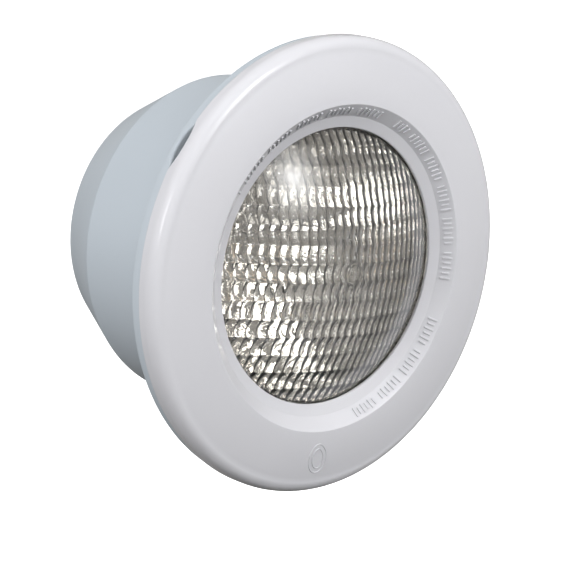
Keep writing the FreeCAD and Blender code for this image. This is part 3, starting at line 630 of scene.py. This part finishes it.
def lens_grid(name, fn, rmax, nx, nz, extra_r):
    """Starts an empty bmesh and lists grid x and z positions across a square of half-width rmax."""
    bm = bmesh.new()
    xs = [-rmax + 2 * rmax * i / nx for i in range(nx + 1)]
    zs = [-rmax + 2 * rmax * j / nz for j in range(nz + 1)]
    return bm, xs, zs


bm = bmesh.new()
step = PITCH / 10.0
RL = 84.6
NA = 0
n_half = int(RL / step)
index = {}


def vert_in(x, z, surf):
    key = (surf, round(x, 4), round(z, 4))
    if key in index:
        return index[key]
    r = math.hypot(x, z)
    if surf == 0:
        d = dome_d(r)
    else:
        d = dome_d(r, INNER_R, APEX - THICK) - lens_depth(x, z)
    v = bm.verts.new((x / 1000.0, -d / 1000.0, z / 1000.0))
    index[key] = v
    return v


# The grid is square inside, and its outermost points are pulled to the circle.
zstep = BAND / 16.0
nz_half = int(RL / zstep)


def snap(x, z):
    r = math.hypot(x, z)
    return (x, z) if r <= RL else (x * RL / r, z * RL / r)


cells = []
for i in range(-n_half - 2, n_half + 2):
    for j in range(-nz_half - 2, nz_half + 2):
        pts = [(i * step, j * zstep), ((i + 1) * step, j * zstep), ((i + 1) * step, (j + 1) * zstep),
               (i * step, (j + 1) * zstep)]
        ins = [math.hypot(*p) < RL - 0.15 for p in pts]
        if not any(ins):
            continue
        cells.append((pts, ins))
for (pts, ins) in cells:
    for surf in (0, 1):
        q = []
        for p, inside in zip(pts, ins):
            a, b = p if inside else snap(*p) if math.hypot(*p) > RL else p
            v = vert_in(a, b, surf)
            if v not in q:
                q.append(v)
        if len(q) >= 3:
            try:
                bm.faces.new(q if surf == 0 else q[::-1])
            except ValueError:
                pass
bm.verts.ensure_lookup_table()
bmesh.ops.remove_doubles(bm, verts=bm.verts, dist=2e-6)
# close the rim: outer circle and inner circle go down to the moulded foot
bound = [e for e in bm.edges if e.is_boundary]
loops = []
seen = set()
for e in bound:
    if e in seen:
        continue
    comp = [e]
    seen.add(e)
    stack = [e]
    while stack:
        x = stack.pop()
        for v in x.verts:
            for f in v.link_edges:
                if f.is_boundary and f not in seen:
                    seen.add(f)
                    comp.append(f)
                    stack.append(f)
    loops.append(comp)
loops.sort(key=len, reverse=True)
print("lens boundary loops", [len(c) for c in loops][:6])


def extrude_loop(edges, steps):
    """Carries a boundary loop to new radii and depths."""
    cur = edges
    first = None
    for (r, d) in steps:
        res = bmesh.ops.extrude_edge_only(bm, edges=cur)
        vs = [g for g in res["geom"] if isinstance(g, bmesh.types.BMVert)]
        es = [g for g in res["geom"] if isinstance(g, bmesh.types.BMEdge)]
        for v in vs:
            a = math.atan2(v.co.z, v.co.x)
            v.co = Vector(P(r, d, a))
        cur = [e for e in es if e.verts[0] in vs and e.verts[1] in vs]
    return cur


def loop_mean(edges):
    return sum(v.co.y for e in edges for v in e.verts) / (2 * len(edges))


la, lb = loops[0], loops[1]
if loop_mean(la) > loop_mean(lb):
    la, lb = lb, la
ea = extrude_loop(la, [(85.1, 13.7), (85.6, 13.1), (86.2, 11.8), (86.9, 11.25), (88.6, 11.2), (89.0, 10.9), (89.0, 8.75),
                       (88.8, 8.6)])
eb = extrude_loop(lb, [(84.4, 10.2), (84.0, 8.9), (83.9, 8.6)])
# both loops now lie in the plane d = 8.6; bridge them
bmesh.ops.bridge_loops(bm, edges=ea + eb)
bmesh.ops.recalc_face_normals(bm, faces=bm.faces)
lens_me = bpy.data.meshes.new("lamp_lens")
bm.to_mesh(lens_me)
bm.free()
lens_me.shade_smooth()
lens_me.set_sharp_from_angle(angle=math.radians(50))
lens = obj_from(lens_me, "lamp_lens_glass", MAT["lens_glass"])
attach(lens, "lamp")
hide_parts("lamp_lens")

# central boss: a small plain raised round with a fine ring
boss_prof = [(0, dome_d(0) + 0.30), (1.0, dome_d(1.0) + 0.25), (2.0, dome_d(2.0) - 0.15), (4.2, dome_d(4.2) - 0.15),
             (4.6, dome_d(4.6) + 0.60), (5.1, dome_d(5.1) + 0.66), (5.5, dome_d(5.5) - 0.10), (6.1, dome_d(6.1) - 0.10),
             (6.5, dome_d(6.5) + 0.65), (7.1, dome_d(7.1) + 0.70), (7.7, dome_d(7.7) - 0.4), (0, dome_d(0) - 0.6)]
boss_me = lathe_mesh("lens_boss", boss_prof, 64, closed=False)
finish_mesh(boss_me, 40.0)
boss = obj_from(boss_me, "lamp_lens_boss", MAT["lens_glass"])
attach(boss, "lamp")

# ------------------------------------------------------------------ filament
verts, faces = [], []
COIL_R, WIRE, TURNS, LEN = 1.3, 0.28, 22, 20.0
steps, ring_n = TURNS * 14, 8
for i in range(steps + 1):
    t = i / steps
    a = TAU * TURNS * t
    cx = -LEN / 2 + LEN * t
    cy, cz = COIL_R * math.cos(a), COIL_R * math.sin(a)
    tangent = Vector((LEN / (TAU * TURNS), -COIL_R * math.sin(a), COIL_R * math.cos(a))).normalized()
    n1 = Vector((0, math.cos(a), math.sin(a)))
    n2 = tangent.cross(n1)
    for k in range(ring_n):
        w = TAU * k / ring_n
        off = n1 * math.cos(w) * WIRE + n2 * math.sin(w) * WIRE
        verts.append(((cx + off.x) / 1000.0, (50.0 + cy + off.y) / 1000.0, (cz + off.z) / 1000.0))
for i in range(steps):
    for k in range(ring_n):
        k2 = (k + 1) % ring_n
        faces.append((i * ring_n + k, i * ring_n + k2, (i + 1) * ring_n + k2, (i + 1) * ring_n + k))
faces.append(tuple(range(ring_n - 1, -1, -1)))
faces.append(tuple(range(steps * ring_n, steps * ring_n + ring_n)))
fil_me = bpy.data.meshes.new("filament")
fil_me.from_pydata(verts, [], faces)
finish_mesh(fil_me, 50.0)
fil = obj_from(fil_me, "filament_coil", MAT["tungsten"])
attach(fil, "lamp")
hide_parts("filament")

# ------------------------------------------------ CAD nodes that stay as made
CARRIED = {
    "screw_inserts": "brass", "niche_gland_body": "gland_plastic", "niche_gland_locknut": "gland_plastic",
    "niche_gland_washer": "rubber", "niche_gland_cap": "gland_plastic", "niche_gland_seal": "rubber",
    "rear_housing": "housing_plastic", "housing_gland_body": "gland_plastic",
    "housing_gland_locknut": "gland_plastic", "housing_gland_washer": "rubber",
    "housing_gland_cap": "gland_plastic", "housing_gland_seal": "rubber", "mounting_screws": "stainless",
    "screw_washers": "stainless", "filament_supports": "support_wire", "lamp_ferrules": "ferrule_metal",
    "terminal_screws": "brass", "lamp_gasket": "gasket_rubber", "retaining_ring": "stainless",
    "clamp_screws": "stainless",
}
for o in scene.objects:
    if o.type == "MESH" and o.name in CARRIED:
        o.data.materials.clear()
        o.data.materials.append(MAT[CARRIED[o.name]])

# --------------------------------------------------------------- stage, light
cam_d = bpy.data.cameras.new("cam")
cam = bpy.data.objects.new("cam", cam_d)
scene.collection.objects.link(cam)
scene.camera = cam
AZ, EL, ROLL = math.radians(-43.083235539), math.radians(10.000266692), math.radians(5.8)
DIST, S, TX, TY = 1540.0836, 1.6592206, 329.04541, 266.88759
b = Vector((math.sin(AZ) * math.cos(EL), -math.cos(AZ) * math.cos(EL), math.sin(EL)))
rt = Vector((math.cos(AZ), math.sin(AZ), 0))
up = b.cross(rt)
r2 = rt * math.cos(ROLL) + up * math.sin(ROLL)
u2 = -rt * math.sin(ROLL) + up * math.cos(ROLL)
ox, oy = (TX - 285) / S, -(TY - 285) / S
pos = Vector((0, -16.5, 0)) + b * DIST - r2 * ox - u2 * oy
cam.matrix_world = Matrix(((r2.x, u2.x, b.x, pos.x / 1000), (r2.y, u2.y, b.y, pos.y / 1000),
                           (r2.z, u2.z, b.z, pos.z / 1000), (0, 0, 0, 1)))
cam_d.sensor_width = 36.0
cam_d.lens = S * DIST / 570 * 36
cam_d.clip_start, cam_d.clip_end = 0.01, 50

w = bpy.data.worlds.new("studio")
scene.world = w
w.use_nodes = True
wt = w.node_tree
bg = wt.nodes["Background"]
bg.inputs["Strength"].default_value = 1.0
wc = wt.nodes.new("ShaderNodeTexCoord")
ws = wt.nodes.new("ShaderNodeSeparateXYZ")
wt.links.new(wc.outputs["Generated"], ws.inputs["Vector"])
wm = wt.nodes.new("ShaderNodeMapRange")
wm.inputs["From Min"].default_value = -1.0
wm.inputs["From Max"].default_value = 1.0
wt.links.new(ws.outputs["Z"], wm.inputs["Value"])
wr = ramp(wt, wm.outputs["Result"], [(0.0, 0.03), (0.30, 0.08), (0.44, 0.21), (0.52, 0.34), (0.62, 0.42), (1.0, 0.55)])
wt.links.new(wr.outputs["Color"], bg.inputs["Color"])
wr2 = ramp(wt, wm.outputs["Result"], [(0.0, 0.32), (0.44, 0.34), (0.52, 0.40), (0.62, 0.48), (1.0, 0.60)])
bg3 = wt.nodes.new("ShaderNodeBackground")
# a room has darker and lighter patches, which the reflector breaks up
wn = wt.nodes.new("ShaderNodeTexNoise")
wn.inputs["Scale"].default_value = 4.2
wn.inputs["Detail"].default_value = 2.0
wt.links.new(wc.outputs["Generated"], wn.inputs["Vector"])
wnr = ramp(wt, wn.outputs["Fac"], [(0.36, (0.30, 0.30, 0.30)), (0.50, (0.95, 0.92, 0.87)), (0.64, (1.0, 0.97, 0.93))])
wmul = wt.nodes.new("ShaderNodeMix")
wmul.data_type = "RGBA"
wmul.blend_type = "MULTIPLY"
wmul.inputs["Factor"].default_value = 1.0
wt.links.new(wr2.outputs["Color"], wmul.inputs["A"])
wt.links.new(wnr.outputs["Color"], wmul.inputs["B"])
wt.links.new(wmul.outputs["Result"], bg3.inputs["Color"])
bg2 = wt.nodes.new("ShaderNodeBackground")
bg2.inputs["Color"].default_value = (1.0, 1.0, 1.0, 1)
lp = wt.nodes.new("ShaderNodeLightPath")
mx = wt.nodes.new("ShaderNodeMixShader")
wt.links.new(lp.outputs["Is Camera Ray"], mx.inputs["Fac"])
mx2 = wt.nodes.new("ShaderNodeMixShader")
wt.links.new(lp.outputs["Is Diffuse Ray"], mx2.inputs["Fac"])
wt.links.new(bg3.outputs["Background"], mx2.inputs[1])
wt.links.new(bg.outputs["Background"], mx2.inputs[2])
wt.links.new(mx2.outputs["Shader"], mx.inputs[1])
wt.links.new(bg2.outputs["Background"], mx.inputs[2])
wt.links.new(mx.outputs["Shader"], wt.nodes["World Output"].inputs["Surface"])


def floor_mat():
    m, nt, b = new_mat("floor_pale")
    c = coords(nt)
    n = noise(nt, c, 1.5, 2.0)
    col = ramp(nt, n.outputs["Fac"], [(0.3, (0.93, 0.93, 0.93)), (0.7, (0.95, 0.95, 0.95))])
    nt.links.new(col.outputs["Color"], b.inputs["Base Color"])
    b.inputs["Roughness"].default_value = 0.9
    b.inputs["Specular IOR Level"].default_value = 0.1
    b.inputs["Emission Color"].default_value = (1, 1, 1, 1)
    b.inputs["Emission Strength"].default_value = 0.75
    return m


fme = bpy.data.meshes.new("floor")
fb = bmesh.new()
bmesh.ops.create_grid(fb, x_segments=1, y_segments=1, size=60.0)
fb.to_mesh(fme)
fb.free()
floor = obj_from(fme, "floor", floor_mat())
floor.location = (0, 0, -0.32)
floor.visible_diffuse = False
floor.visible_glossy = False
floor.visible_transmission = False


def area(name, loc, target, size, power, size_y=None, color=(1, 1, 1)):
    l = bpy.data.lights.new(name, "AREA")
    l.energy = power
    l.color = color
    l.shape = "RECTANGLE"
    l.size = size
    l.size_y = size_y or size
    o = bpy.data.objects.new(name, l)
    scene.collection.objects.link(o)
    o.location = loc
    d = Vector(target) - Vector(loc)
    o.rotation_euler = d.to_track_quat("-Z", "Y").to_euler()
    return o


def at(az, el, dist):
    a, e = math.radians(az), math.radians(el)
    return (math.sin(a) * math.cos(e) * dist, -math.cos(a) * math.cos(e) * dist, math.sin(e) * dist)


def only(light, diffuse=True, glossy=True, through=True):
    """Studio light seen by some kinds of ray only, as flags and cards would do."""
    light.visible_diffuse = diffuse
    light.visible_glossy = glossy
    light.visible_transmission = through
    return light


for i, (size, power) in enumerate(((0.20, 0.5), (0.38, 1.2), (0.58, 1.8), (0.80, 2.4), (1.05, 3.0), (1.35, 4.2))):
    hot = only(area("hot_%d" % i, at(12.0, 31, 2.0 + 0.01 * i), (0, 0, 0), size, power), through=False)
    hot.data.shape = "DISK"
only(area("left_front", at(-64, 14, 2.2), (0, 0, 0), 0.30, 4.6, 0.60), through=False)
only(area("left_side", at(-82, 18, 2.2), (0, 0, 0), 1.2, 28.0, 0.9), glossy=False, through=False)
only(area("front_right", at(32, 16, 2.3), (0, 0, 0), 1.2, 13.5, 0.9), glossy=False, through=False)
only(area("front_left", at(-38, 16, 2.3), (0, 0, 0), 1.2, 5.5, 0.9), glossy=False, through=False)
only(area("right_top", at(45, 50, 2.2), (0, 0, 0), 1.1, 9.0, 0.9), glossy=False, through=False)
only(area("behind", at(168, 12, 2.4), (0, 0, 0), 1.2, 7.0, 0.9), glossy=False, through=False)
only(area("card_main", at(-20, 20, 2.0), (0, 0, 0), 0.92, 17.5, 0.60), diffuse=False, glossy=False)
only(area("card_soft", at(-8, -12, 2.0), (0, 0, 0), 1.1, 3.2, 0.6), diffuse=False, glossy=False)
only(area("card_warm", at(26, 10, 2.0), (0, 0, 0), 1.0, 0.9, 0.3, (1.0, 0.76, 0.52)), diffuse=False, glossy=False)

scene.view_settings.view_transform = "Standard"
scene.view_settings.look = "None"
scene.view_settings.exposure = 0.0
scene.view_settings.gamma = 1.0
